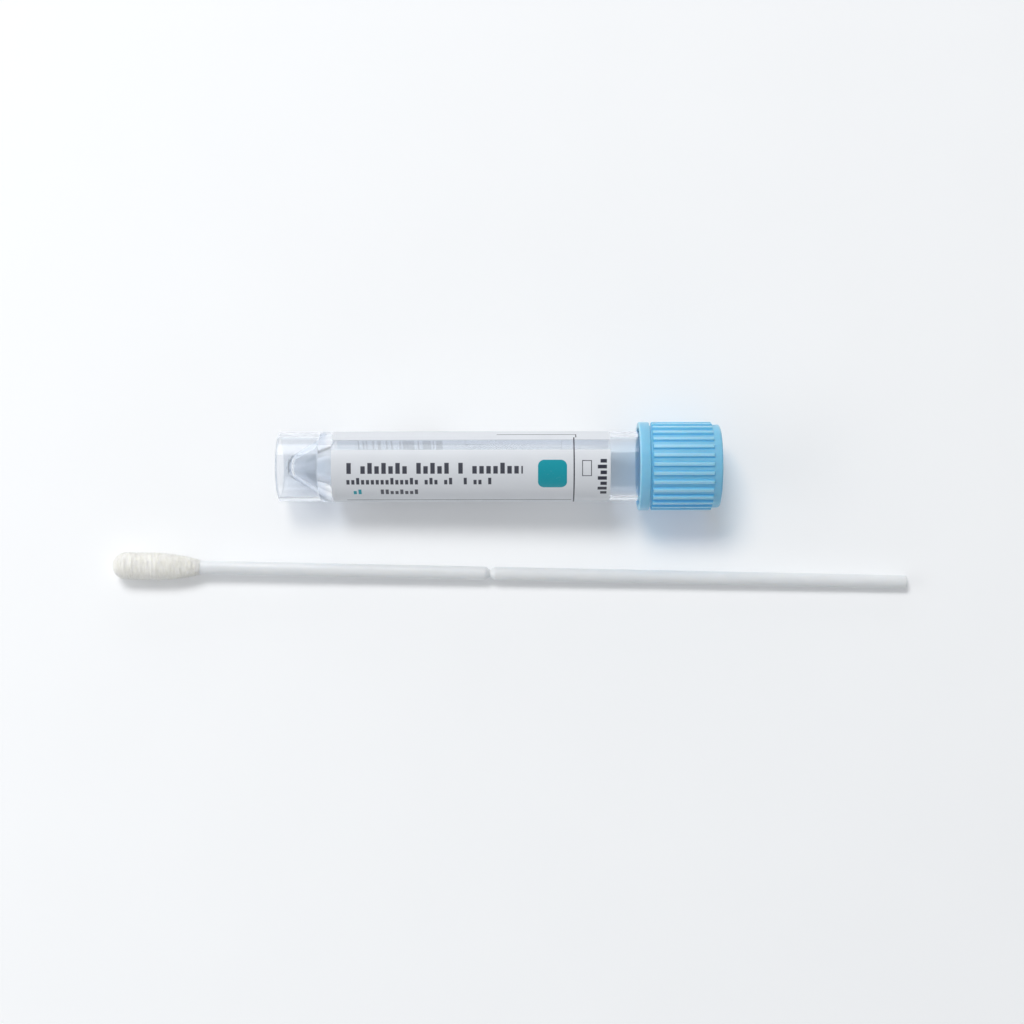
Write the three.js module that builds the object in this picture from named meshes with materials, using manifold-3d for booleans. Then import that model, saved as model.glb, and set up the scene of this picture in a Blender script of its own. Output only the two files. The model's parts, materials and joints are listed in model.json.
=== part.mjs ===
// A specimen swab tube: a clear screw-cap transport tube that holds a little liquid buffer, with the
// long swab that goes with it. Both lie on a flat surface, side by side. Millimetres, +Z up, +X
// along the tube towards its cap. The origin is at the middle of the set's footprint.

import * as THREE from "three";
import * as BufferGeometryUtils from "three/addons/utils/BufferGeometryUtils.js";
import Module from "manifold-3d";

const wasm = await Module();
wasm.setup();

// ---- driving dimensions ------------------------------------------------------------------------

const ROUND_SIDES = 60; // sides of every turned piece of the tube and cap
const TURN = 2 * Math.PI;

// tube, measured along its own axis from the foot
const TUBE_LENGTH = 79.6;
const TUBE_RADIUS = 6.6;
const WALL = 1.0;
const FOOT_EDGE = 0.3; // bevel on the skirt's outer edge
const MOUTH_EDGE = 0.4; // bevels on the mouth's rim, outside and inside
const MOUTH_INNER_EDGE = 0.2;
const CONE_TIP_Z = 1.6; // lowest point of the cone's outside, clear of the surface
const CONE_TOP_Z = 10.6; // where the cone meets the straight bore
const CONE_TIP_RADIUS = 1.3;
const CONE_WALL = 1.1;
const CONE_FLANK_RISE = 0.4; // from the tip to the flank outside, and inside
const CONE_BORE_RISE = 0.35;
const SKIRT_DEPTH = 8.2; // from the foot to where the cone leaves the wall

// screw thread, the same pitch on tube and cap
const PITCH = 3.0;
const THREAD_TURNS = 1.75;
const THREAD_BASE = 1.3; // width of a ridge where it joins the wall
const THREAD_CREST = 0.6;
const THREAD_HEIGHT = 0.62;
const THREAD_SIDES = 40; // steps in one turn
const THREAD_FADE = 1 / 8; // turns over which each end runs into the wall
const THREAD_LOW = 0.3; // share of the height left at its very ends
const TUBE_THREAD_Z = 71.6;

// cap, measured from its open rim, which faces the foot
const CAP_START = 67.8; // the rim's place along the tube
const CAP_LENGTH = 15.4;
const CAP_BORE = 7.45;
const CAP_RIM_RADIUS = 8.35;
const CAP_RIM_BAND = 2.0;
const CAP_BODY_RADIUS = 7.95;
const CAP_CROWN_RADIUS = 7.85;
const CAP_EDGE = 0.3; // bevel on the rim, outside and inside
const CAP_BAND_EDGE = 0.15; // bevel on the rim band's upper edge
const CROWN_EDGE = 0.5; // round on the crown
const CAP_TOP = 1.6;
const RIBS = 30;
const RIB_START = 1.6;
const RIB_END = 14.0;
const RIB_FOOT = 0.95; // width of a rib at its foot
const RIB_CREST = 0.36;
const RIB_CREST_RADIUS = 8.3;
const RIB_SHOULDER = 0.1; // how far the crest's sides stand below its middle line
const RIB_ROOT = 0.25; // how deep its foot is sunk into the wall
const RIB_DRAFT = 0.1; // how much lower the crest is at the crown's end
const RIB_PHASE = (3 * Math.PI) / 180;
const CAP_THREAD_Z = TUBE_THREAD_Z - CAP_START - PITCH / 2; // midway between the tube's ridges

// seal under the crown
const SEAL_RADIUS = 7.1;
const SEAL_THICKNESS = 1.3;
const SEAL_GAP = 0.3;
const SEAL_BEAD_RADIUS = 5.0; // raised ring that centres in the mouth
const SEAL_BEAD = 0.8;
const SEAL_BEAD_FOOT = 1.2; // width of that ring at its foot
const SEAL_BEAD_SLOPE = 0.3;
const SEAL_EDGE = 0.2;

// wrap label
const LABEL_START = 10.2;
const LABEL_END = 62.6;
const LABEL_GAP = 0.05;
const LABEL_THICKNESS = 0.1;

// buffer
const BUFFER_GAP = 0.3;
const BUFFER_LEVEL = 4.4; // height of the liquid's surface above the floor, for 1 mL
const BUFFER_END = 77.0; // the pool stops short of the mouth here
const BELOW_LEVEL = [200, 60, 60]; // size of the block that keeps what is under the surface

// swab, measured along its own axis from the tip
const SWAB_LENGTH = 152.4;
const SHAFT_RADIUS = 1.25;
const SHAFT_SIDES = 20;
const SPIGOT_RADIUS = 1.0; // part of the shaft inside the bud
const SPIGOT_START = 3.0;
const SPIGOT_TAPER = [-1.4, 1.0]; // from the bud's end, where the shaft widens
const BUD_LENGTH = 17.0;
const BUD_RADIUS = 2.65;
const BUD_SIDES = 28;
const BUD_BORE_GAP = 0.15;
const BUD_WIDEST = 8.0; // where the bud rests on the floor, and its taper starts
const BREAK_Z = 72.0;
const BREAK_RADIUS = 0.7;
const BREAK_HALF_WIDTH = 0.9;
const SHAFT_EDGE = 0.35;

// places on the floor
const FOOT_PLACE = [-47.3, 14.2];
const SWAB_TIP_PLACE = [-79.4, -4.3];
const SWAB_YAW = (-1.2 * Math.PI) / 180;

// ---- materials ---------------------------------------------------------------------------------

function plastic(color, roughness, opacity = 1) {
  return new THREE.MeshStandardMaterial({
    color,
    roughness,
    metalness: 0,
    opacity,
    transparent: opacity < 1,
  });
}

const clearPlastic = plastic("#dfe6ea", 0.08, 0.35);
const bluePlastic = plastic("#86c8ea", 0.32);
const sealPlastic = plastic("#eef1f0", 0.6);
const labelFilm = plastic("#e4e7ec", 0.5);
const liquid = plastic("#e6eef2", 0.02, 0.4);
const shaftPlastic = plastic("#f1f1ef", 0.3);
const fibre = plastic("#f0efe9", 0.95);

// ---- shape helpers -----------------------------------------------------------------------------

// A turned solid around Z. Each profile point is [radius, height].
function turned(profile, sides = ROUND_SIDES) {
  const points = profile.map(([radius, height]) => new THREE.Vector2(radius, height));
  return new THREE.LatheGeometry(points, sides).rotateX(Math.PI / 2);
}

// Points of a quarter round, from angle `from` to `to` in degrees, about a centre.
function arc(centreRadius, centreHeight, radius, from, to, steps) {
  const points = [];
  for (let i = 0; i <= steps; i++) {
    const angle = ((from + ((to - from) * i) / steps) * Math.PI) / 180;
    points.push([
      centreRadius + radius * Math.cos(angle),
      centreHeight + radius * Math.sin(angle),
    ]);
  }
  return points;
}

function toSolid(geometry) {
  const bare = geometry.clone();
  bare.deleteAttribute("normal");
  bare.deleteAttribute("uv");
  const merged = BufferGeometryUtils.mergeVertices(bare, 1e-5);
  return new wasm.Manifold(
    new wasm.Mesh({
      numProp: 3,
      vertProperties: new Float32Array(merged.attributes.position.array),
      triVerts: new Uint32Array(merged.index.array),
    })
  );
}

function toGeometry(solid) {
  const mesh = solid.getMesh();
  const geometry = new THREE.BufferGeometry();
  geometry.setAttribute("position", new THREE.BufferAttribute(mesh.vertProperties, 3));
  geometry.setIndex(new THREE.BufferAttribute(mesh.triVerts, 1));
  geometry.computeVertexNormals();
  return geometry;
}

function piece(name, geometry, material) {
  const mesh = new THREE.Mesh(geometry, material);
  mesh.name = name;
  return mesh;
}

// A helical ridge around Z. `rootRadius` lies a little inside the wall that the ridge joins, and
// `crestRadius` is its free edge, outside or inside that wall. Both ends fade into the wall.
function threadRidge(rootRadius, crestRadius, startHeight, turns) {
  const steps = Math.round(turns * THREAD_SIDES);
  const fadeSteps = THREAD_SIDES * THREAD_FADE;
  const positions = [];
  const indices = [];
  for (let i = 0; i <= steps; i++) {
    const angle = (i / THREAD_SIDES) * TURN;
    const middle = startHeight + (PITCH * i) / THREAD_SIDES;
    const fade = Math.min(1, Math.min(i, steps - i) / fadeSteps);
    const share = THREAD_LOW + (1 - THREAD_LOW) * fade;
    const crest = rootRadius + (crestRadius - rootRadius) * share;
    for (const [radius, offset] of [
      [rootRadius, -THREAD_BASE / 2],
      [crest, -THREAD_CREST / 2],
      [crest, THREAD_CREST / 2],
      [rootRadius, THREAD_BASE / 2],
    ]) {
      positions.push(radius * Math.cos(angle), radius * Math.sin(angle), middle + offset);
    }
  }
  for (let i = 0; i < steps; i++) {
    for (let side = 0; side < 4; side++) {
      const next = (side + 1) % 4;
      const [a, b, c, d] = [i * 4 + side, i * 4 + next, i * 4 + 4 + next, i * 4 + 4 + side];
      indices.push(a, d, b, b, d, c);
    }
  }
  const last = steps * 4;
  indices.push(0, 1, 2, 0, 2, 3);
  indices.push(last, last + 2, last + 1, last, last + 3, last + 2);
  if (crestRadius < rootRadius) {
    for (let i = 0; i < indices.length; i += 3) {
      [indices[i + 1], indices[i + 2]] = [indices[i + 2], indices[i + 1]];
    }
  }
  const geometry = new THREE.BufferGeometry();
  geometry.setAttribute("position", new THREE.Float32BufferAttribute(positions, 3));
  geometry.setIndex(indices);
  return geometry;
}

// ---- tube --------------------------------------------------------------------------------------

// The inside of the tube, from the cone's tip out to the straight bore. `shrink` moves it inwards.
function boreProfile(shrink = 0) {
  const bore = TUBE_RADIUS - WALL - shrink;
  const tipHeight = CONE_TIP_Z + CONE_WALL + shrink;
  return [
    [0, tipHeight],
    [CONE_TIP_RADIUS - shrink / 2, tipHeight + CONE_BORE_RISE],
    [bore, CONE_TOP_Z + shrink / 2],
  ];
}

function makeTube() {
  const skirtInside = TUBE_RADIUS - WALL;
  const wallSolid = toSolid(
    turned([
      [0, CONE_TIP_Z],
      [CONE_TIP_RADIUS + CONE_WALL / 2, CONE_TIP_Z + CONE_FLANK_RISE],
      [skirtInside, SKIRT_DEPTH],
      [skirtInside, 0],
      [TUBE_RADIUS - FOOT_EDGE, 0],
      [TUBE_RADIUS, FOOT_EDGE],
      [TUBE_RADIUS, TUBE_LENGTH - MOUTH_EDGE],
      [TUBE_RADIUS - MOUTH_EDGE, TUBE_LENGTH],
      [skirtInside + MOUTH_INNER_EDGE, TUBE_LENGTH],
      [skirtInside, TUBE_LENGTH - MOUTH_INNER_EDGE],
      ...boreProfile().reverse(),
    ])
  );
  const ridge = toSolid(
    threadRidge(
      TUBE_RADIUS - WALL / 3,
      TUBE_RADIUS + THREAD_HEIGHT,
      TUBE_THREAD_Z,
      THREAD_TURNS
    )
  );
  return piece("tube", toGeometry(wallSolid.add(ridge)), clearPlastic);
}

// ---- cap and seal ------------------------------------------------------------------------------

function capShell() {
  const topInside = CAP_LENGTH - CAP_TOP;
  return toSolid(
    turned([
      [CAP_BORE + CAP_EDGE, 0],
      [CAP_RIM_RADIUS - CAP_EDGE, 0],
      [CAP_RIM_RADIUS, CAP_EDGE],
      [CAP_RIM_RADIUS, CAP_RIM_BAND - CAP_BAND_EDGE],
      [CAP_RIM_RADIUS - CAP_BAND_EDGE, CAP_RIM_BAND],
      [CAP_BODY_RADIUS, CAP_RIM_BAND],
      ...arc(CAP_CROWN_RADIUS - CROWN_EDGE, CAP_LENGTH - CROWN_EDGE, CROWN_EDGE, 0, 90, 3),
      [0, CAP_LENGTH],
      [0, topInside],
      [CAP_BORE, topInside],
      [CAP_BORE, CAP_EDGE],
      [CAP_BORE + CAP_EDGE, 0],
    ])
  );
}

// One grip rib: a bar with a trapezoid section, its foot sunk into the cap's wall.
function gripRib() {
  const footRadius = CAP_BODY_RADIUS - RIB_ROOT;
  const shoulderRadius = RIB_CREST_RADIUS - RIB_SHOULDER;
  const section = [
    [footRadius, -RIB_FOOT / 2],
    [shoulderRadius, -(RIB_CREST + RIB_SHOULDER) / 2],
    [RIB_CREST_RADIUS, 0],
    [shoulderRadius, (RIB_CREST + RIB_SHOULDER) / 2],
    [footRadius, RIB_FOOT / 2],
  ];
  const bar = new THREE.ExtrudeGeometry(
    new THREE.Shape(section.map(([x, y]) => new THREE.Vector2(x, y))),
    { depth: RIB_END - RIB_START, bevelEnabled: false }
  );
  const position = bar.attributes.position;
  for (let i = 0; i < position.count; i++) {
    const farEnd = position.getZ(i) > 0 ? 1 : 0;
    const atCrest = position.getX(i) > CAP_BODY_RADIUS ? 1 : 0;
    position.setX(i, position.getX(i) - farEnd * atCrest * RIB_DRAFT);
  }
  return bar.translate(0, 0, RIB_START);
}

function makeCap() {
  let solid = capShell();
  for (let i = 0; i < RIBS; i++) {
    const rib = gripRib().rotateZ(RIB_PHASE + (i / RIBS) * TURN);
    solid = solid.add(toSolid(rib));
  }
  const ridge = threadRidge(CAP_BORE + 0.2, CAP_BORE - THREAD_HEIGHT, CAP_THREAD_Z, THREAD_TURNS);
  const cap = piece("cap", toGeometry(solid.add(toSolid(ridge))), bluePlastic);
  cap.position.z = CAP_START;
  return cap;
}

function makeSeal() {
  const bottom = TUBE_LENGTH + SEAL_GAP;
  const seal = turned([
    [0, bottom],
    [SEAL_BEAD_RADIUS - SEAL_BEAD_FOOT, bottom],
    [SEAL_BEAD_RADIUS - SEAL_BEAD_FOOT + SEAL_BEAD_SLOPE, bottom - SEAL_BEAD],
    [SEAL_BEAD_RADIUS - SEAL_BEAD_SLOPE, bottom - SEAL_BEAD],
    [SEAL_BEAD_RADIUS, bottom],
    [SEAL_RADIUS - SEAL_EDGE, bottom],
    [SEAL_RADIUS, bottom + SEAL_EDGE],
    [SEAL_RADIUS, bottom + SEAL_THICKNESS],
    [0, bottom + SEAL_THICKNESS],
  ]);
  return piece("cap_seal", seal, sealPlastic);
}

// ---- label and buffer --------------------------------------------------------------------------

function makeLabel() {
  const inside = TUBE_RADIUS + LABEL_GAP;
  const outside = inside + LABEL_THICKNESS;
  const sleeve = turned([
    [inside, LABEL_START],
    [outside, LABEL_START],
    [outside, LABEL_END],
    [inside, LABEL_END],
    [inside, LABEL_START],
  ]);
  return piece("label", sleeve, labelFilm);
}

// The liquid fills the bore up to a level plane. The plane is level on the floor, so the solid is
// cut in the floor's frame and then taken back into the tube's own.
function makeBuffer(tubeGroup) {
  const filling = turned([
    ...boreProfile(BUFFER_GAP),
    [TUBE_RADIUS - WALL - BUFFER_GAP, BUFFER_END],
    [0, BUFFER_END],
  ]);
  tubeGroup.updateMatrixWorld(true);
  const floorFrame = tubeGroup.matrixWorld;
  const below = new THREE.BoxGeometry(...BELOW_LEVEL);
  below.translate(...FOOT_PLACE, BUFFER_LEVEL - BELOW_LEVEL[2] / 2);
  const pool = toSolid(filling.applyMatrix4(floorFrame)).intersect(toSolid(below));
  const inTube = toGeometry(pool).applyMatrix4(floorFrame.clone().invert());
  return piece("buffer", inTube, liquid);
}

// ---- swab --------------------------------------------------------------------------------------

function makeShaft() {
  const shaft = turned(
    [
      [0, SPIGOT_START],
      [SPIGOT_RADIUS, SPIGOT_START],
      [SPIGOT_RADIUS, BUD_LENGTH + SPIGOT_TAPER[0]],
      [SHAFT_RADIUS, BUD_LENGTH + SPIGOT_TAPER[1]],
      [SHAFT_RADIUS, BREAK_Z - BREAK_HALF_WIDTH],
      [BREAK_RADIUS, BREAK_Z],
      [SHAFT_RADIUS, BREAK_Z + BREAK_HALF_WIDTH],
      [SHAFT_RADIUS, SWAB_LENGTH - SHAFT_EDGE],
      [SHAFT_RADIUS - SHAFT_EDGE, SWAB_LENGTH],
      [0, SWAB_LENGTH],
    ],
    SHAFT_SIDES
  );
  return piece("swab_shaft", shaft, shaftPlastic);
}

function makeBud() {
  const bore = SPIGOT_RADIUS + BUD_BORE_GAP;
  const nose = arc(0, BUD_RADIUS, BUD_RADIUS, -90, 0, 6);
  const bud = turned(
    [
      ...nose,
      [BUD_RADIUS, BUD_WIDEST],
      [BUD_RADIUS - 0.25, 12.0],
      [BUD_RADIUS - 0.75, 15.2],
      [bore + 0.25, BUD_LENGTH - 0.2],
      [bore, BUD_LENGTH - 0.6],
      [bore, SPIGOT_START - BUD_BORE_GAP],
      [0, SPIGOT_START - BUD_BORE_GAP],
    ],
    BUD_SIDES
  );
  return piece("swab_tip", bud, fibre);
}

// ---- assembly ----------------------------------------------------------------------------------

// Tilts a group whose axis is its own Z so that it lies along X with two of its circles on the
// floor. Each circle is [height along the axis, radius].
function layDown(group, [nearHeight, nearRadius], [farHeight, farRadius]) {
  const tilt = Math.atan((farRadius - nearRadius) / (farHeight - nearHeight));
  group.rotation.set(0, Math.PI / 2 - tilt, 0);
  group.position.z = nearRadius * Math.cos(tilt) - nearHeight * Math.sin(tilt);
}

function makeTubeGroup() {
  const group = new THREE.Group();
  layDown(group, [FOOT_EDGE, TUBE_RADIUS], [CAP_START + CAP_EDGE, CAP_RIM_RADIUS]);
  [group.position.x, group.position.y] = FOOT_PLACE;
  group.add(makeTube(), makeLabel(), makeBuffer(group), makeCap(), makeSeal());
  return group;
}

function makeSwabGroup() {
  const lying = new THREE.Group();
  layDown(lying, [BUD_WIDEST, BUD_RADIUS], [SWAB_LENGTH - SHAFT_EDGE, SHAFT_RADIUS]);
  lying.add(makeShaft(), makeBud());
  const group = new THREE.Group();
  group.add(lying);
  group.rotation.z = SWAB_YAW;
  [group.position.x, group.position.y] = SWAB_TIP_PLACE;
  return group;
}

// Moves the finished set so that the middle of its footprint is at the origin.
function centred(set) {
  set.updateMatrixWorld(true);
  const box = new THREE.Box3().setFromObject(set, true);
  set.position.set(-(box.min.x + box.max.x) / 2, -(box.min.y + box.max.y) / 2, -box.min.z);
  return set;
}

const specimenSwabTube = new THREE.Group();
specimenSwabTube.add(makeTubeGroup(), makeSwabGroup());

export default centred(specimenSwabTube);
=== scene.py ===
import json
import math
import random

import bmesh
import bpy
from mathutils import Matrix, Vector


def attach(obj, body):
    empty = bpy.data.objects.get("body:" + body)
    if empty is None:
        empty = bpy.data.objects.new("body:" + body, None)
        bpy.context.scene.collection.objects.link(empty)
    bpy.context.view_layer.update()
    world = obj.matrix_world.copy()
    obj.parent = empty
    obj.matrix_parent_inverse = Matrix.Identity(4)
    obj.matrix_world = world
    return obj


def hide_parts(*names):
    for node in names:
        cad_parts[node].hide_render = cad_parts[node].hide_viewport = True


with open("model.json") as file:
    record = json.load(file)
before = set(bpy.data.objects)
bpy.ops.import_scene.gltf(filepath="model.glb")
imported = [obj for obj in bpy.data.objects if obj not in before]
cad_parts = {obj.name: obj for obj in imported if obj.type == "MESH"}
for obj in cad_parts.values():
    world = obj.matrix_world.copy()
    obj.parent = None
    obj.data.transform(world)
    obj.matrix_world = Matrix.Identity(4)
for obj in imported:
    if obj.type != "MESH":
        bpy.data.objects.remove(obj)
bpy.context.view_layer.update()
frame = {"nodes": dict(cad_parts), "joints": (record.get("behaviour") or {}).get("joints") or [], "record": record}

TO_METRES = 0.001  # pieces are modelled in millimetres

# ---- the tube's own dimensions, along its axis from the foot -----------------------------------

TUBE_SIDES = 180
TUBE_RADIUS = 6.6
TUBE_LENGTH = 79.6
BORE_RADIUS = 5.6
CONE_FOOT = 1.6
CONE_TOP = 10.6
SKIRT_TOP = 8.2
PITCH = 3.0
THREAD_TURNS = 1.75
THREAD_STEPS = 48  # in one turn
THREAD_HEIGHT = 0.62
THREAD_CREST_WIDTH = 0.55
THREAD_RUN_OUT = 0.12  # what is left of its height at its two ends
THREAD_FADE = THREAD_STEPS / 6  # steps in which it grows to its full height
TUBE_THREAD_START = 71.6
TUBE_THREAD_WIDTH = 1.5

# ---- cap, along its axis from the open rim -----------------------------------------------------

CAP_START = 67.8
CAP_LENGTH = 15.4
CAP_BORE = 7.45
CAP_RIM_RADIUS = 8.35
CAP_RIM_BAND = 2.0
CAP_WALL_RADIUS = 7.88
CAP_CROWN_RADIUS = 7.85
CAP_TOP = 1.6
RIBS = 30
SIDES_PER_RIB = 4
RIB_START = 2.45
RIB_END = 13.85
RIB_FOOT = 0.25  # half of its width at the foot, as a share of the pitch
RIB_SLOPE = 0.12
RIB_HEIGHT = 0.49
GROOVE_DEPTH = 0.2
RIB_PHASE = 3.0
CAP_THREAD_START = TUBE_THREAD_START - CAP_START - PITCH / 2
CAP_THREAD_WIDTH = 1.45
CAP_BEVEL = 0.085

# ---- seal --------------------------------------------------------------------------------------

SEAL_SIDES = 120
SEAL_FOOT = TUBE_LENGTH + 0.3
SEAL_LIP = 0.25  # how far its sealing ring bulges

# ---- label -------------------------------------------------------------------------------------

LABEL_START = 10.4
LABEL_END = 62.4
LABEL_RADIUS = 6.705  # where the print is measured
LABEL_FILM = 0.08
LABEL_INTO_WALL = 0.02  # its glue leaves no air between it and the tube
LABEL_MIDDLE = TUBE_RADIUS - LABEL_INTO_WALL + LABEL_FILM / 2
LABEL_FIRST = -5.6  # millimetres round the tube from its top line, positive to the front
LABEL_TURN = 2 * math.pi * LABEL_RADIUS
LABEL_SIDES = 180
LAP_SIDES = 4  # sides in which its end climbs onto its start
WINDOW_TOP = -4.9
WINDOW_FOOT = -2.65
PRINT_EDGE = 0.035  # softness of printed edges
PRINT_LEFT = 13.1
RULE_WIDTH = 0.14
BLOCKS_LEFT_OUT = 0.14  # share of a line's places that stay blank
SMALL_BLOCKS = 0.6  # share of them that are blank or hold a small block
SMALL_HEIGHT = 0.7

# ---- liquid ------------------------------------------------------------------------------------

LIQUID_INTO_WALL = 0.02
LIQUID_LEVEL = 4.4
MENISCUS = 0.32
MENISCUS_STEPS = ((0.1, 0.09), (0.2, 0.09), (0.35, 0.08), (0.5, 0.05), (0.7, 0.01))  # in, down
LIQUID_END = 77.0

# ---- swab, along its axis from the tip ---------------------------------------------------------

SHAFT_RADIUS = 1.25
SHAFT_SIDES = 64
SWAB_LENGTH = 152.4
BREAK_PLACE = 72.0
BUD_LENGTH = 17.0
BUD_RADIUS = 2.6
BUD_NOSE = 2.6
BUD_FULL_END = 7.5  # where its long taper starts
BUD_LAYER = 0.1  # the last turns of fibre, where they thin out on the shaft
BUD_SIDES = 96
BUD_RINGS = 130
SPIGOT_RADIUS = 1.0
SPIGOT_START = 3.0
SEAM_INSET = 0.04
SEAM_HEIGHT = 0.025
FIBRES = 2200
FIBRE_RADIUS = 0.009
FIBRE_POINTS = 5

# ---- meshes ------------------------------------------------------------------------------------

SUPPORT_REACH = 0.15  # from the end of a long run to the ring that keeps it straight
SAME_PLACE = 1e-4  # points nearer than this are one
SLIVER = 2e-3  # and this near where two solids were joined

random.seed(7)


# ---- places taken from the frame ---------------------------------------------------------------


def tube_frame():
    """The tube's own frame: Z along its axis from the foot, X down, Y to the back."""
    turn = next(j for j in frame["joints"] if j["name"] == "cap_turn")
    along = Vector(turn["axis"]).normalized()
    on_axis = Vector(turn["pos_m"])
    foot_ring = next(m for m in frame["record"]["mounts"] if m["name"] == "foot_ring")
    foot = on_axis + along * (Vector(foot_ring["pos_m"]) - on_axis).dot(along)
    return frame_at(foot, along)


def swab_frame():
    """The swab's own frame: Z along its axis from the tip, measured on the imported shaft."""
    shaft = frame["nodes"]["swab_shaft"]
    points = [v.co.copy() for v in shaft.data.vertices]
    end_depth = 0.2 * TO_METRES
    along = Vector((1, 0, 0))
    for _ in range(2):  # roughly, then square to the shaft
        reach = [p.dot(along) for p in points]
        near = [p for p, r in zip(points, reach) if r < min(reach) + end_depth]
        far = [p for p, r in zip(points, reach) if r > max(reach) - end_depth]
        far_end = middle_of(far)
        along = (far_end - middle_of(near)).normalized()
    tip = far_end - along * SWAB_LENGTH * TO_METRES
    return frame_at(tip, along)


def middle_of(points):
    """The middle of the points' box."""
    low = Vector([min(p[i] for p in points) for i in range(3)])
    high = Vector([max(p[i] for p in points) for i in range(3)])
    return (low + high) / 2


def frame_at(origin, along):
    """X down, Y level to the back and Z along the given line."""
    back = Vector((0, 0, 1)).cross(along).normalized()
    down = back.cross(along)
    turn = Matrix((down, back, along)).transposed().to_4x4()
    return Matrix.Translation(origin) @ turn


TUBE_FRAME = tube_frame()
SWAB_FRAME = swab_frame()


# ---- modelling helpers -------------------------------------------------------------------------


def deselect():
    if bpy.context.mode != "OBJECT":
        bpy.ops.object.mode_set(mode="OBJECT")
    bpy.ops.object.select_all(action="DESELECT")


def choose(*pieces):
    deselect()
    for piece in pieces:
        piece.select_set(True)
    bpy.context.view_layer.objects.active = pieces[0]


def edit(piece):
    choose(piece)
    bpy.ops.object.mode_set(mode="EDIT")


def done():
    bpy.ops.object.mode_set(mode="OBJECT")


def named(name):
    piece = bpy.context.object
    piece.name = name
    piece.data.name = name
    return piece


def pick(piece, test, kind="verts"):
    """In edit mode, selects what has its middle where test says."""
    mesh = bmesh.from_edit_mesh(piece.data)
    bpy.ops.mesh.select_mode(type={"verts": "VERT", "faces": "FACE"}[kind])
    bpy.ops.mesh.select_all(action="DESELECT")
    for part in getattr(mesh, kind):
        part.select = test(part.co if kind == "verts" else part.calc_center_median())
    mesh.select_flush_mode()
    bmesh.update_edit_mesh(piece.data)


def widen(by):
    """Scales what is selected in or out from the Z axis."""
    bpy.ops.transform.resize(value=(by, by, 1), center_override=(0, 0, 0))


def apply_modifier(piece, kind, **settings):
    choose(piece)
    modifier = piece.modifiers.new(kind.title(), kind)
    for name, value in settings.items():
        setattr(modifier, name, value)
    bpy.ops.object.modifier_apply(modifier=modifier.name)


def smooth(piece, angle):
    """Shades a piece smooth but for its edges that are sharper than an angle in degrees."""
    choose(piece)
    bpy.ops.object.shade_smooth_by_angle(angle=math.radians(angle))


def merge_close(piece, apart=SAME_PLACE):
    """Makes one point of those that lie in the same place."""
    edit(piece)
    bpy.ops.mesh.select_all(action="SELECT")
    bpy.ops.mesh.remove_doubles(threshold=apart)
    done()


def outward(piece):
    """Turns every face of a closed piece outwards, which its volume then shows."""
    edit(piece)
    bpy.ops.mesh.select_all(action="SELECT")
    bpy.ops.mesh.normals_make_consistent(inside=False)
    if bmesh.from_edit_mesh(piece.data).calc_volume(signed=True) < 0:
        bpy.ops.mesh.flip_normals()
    done()


def put(piece, place):
    """Takes a piece from millimetres round Z to its place in the part, in metres."""
    choose(piece)
    piece.matrix_world = place @ Matrix.Scale(TO_METRES, 4)
    bpy.ops.object.transform_apply(location=True, rotation=True, scale=True)


def arc(centre, radius, start, end, steps):
    """Profile points on an arc, angles in degrees from the outward direction."""
    angles = [math.radians(start + (end - start) * i / steps) for i in range(steps + 1)]
    return [
        (centre[0] + radius * math.cos(a), centre[1] + radius * math.sin(a)) for a in angles
    ]


def supported(profile):
    """Adds a ring near both ends of every long run, so that it shades and bends light straight."""
    points = [profile[0]]
    for before, after in zip(profile, profile[1:]):
        length = math.dist(before, after)
        if length > 5 * SUPPORT_REACH:
            for share in (SUPPORT_REACH / length, 1 - SUPPORT_REACH / length):
                points.append(tuple(a + (b - a) * share for a, b in zip(before, after)))
        points.append(after)
    return points


def turned(name, profile, sides):
    """A round piece about Z: one ring, extruded and resized from profile point to point. Both of
    its ends are closed with a fan of triangles."""
    deselect()
    bpy.ops.mesh.primitive_circle_add(
        vertices=sides, radius=profile[0][0], location=(0, 0, profile[0][1])
    )
    piece = named(name)
    bpy.ops.object.transform_apply(location=True)
    edit(piece)
    bpy.ops.mesh.select_mode(type="VERT")
    bpy.ops.mesh.select_all(action="SELECT")
    for before, after in zip(profile, profile[1:]):
        rise = {"value": (0, 0, after[1] - before[1])}
        bpy.ops.mesh.extrude_region_move(TRANSFORM_OT_translate=rise)
        widen(after[0] / before[0])
    for _ in range(2):  # the last ring, then the first, which is by then the only open one
        bpy.ops.mesh.edge_face_add()
        bpy.ops.mesh.poke()
        bpy.ops.mesh.select_mode(type="VERT")
        bpy.ops.mesh.select_all(action="DESELECT")
        bpy.ops.mesh.select_non_manifold()
    done()
    outward(piece)
    return piece


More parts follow.
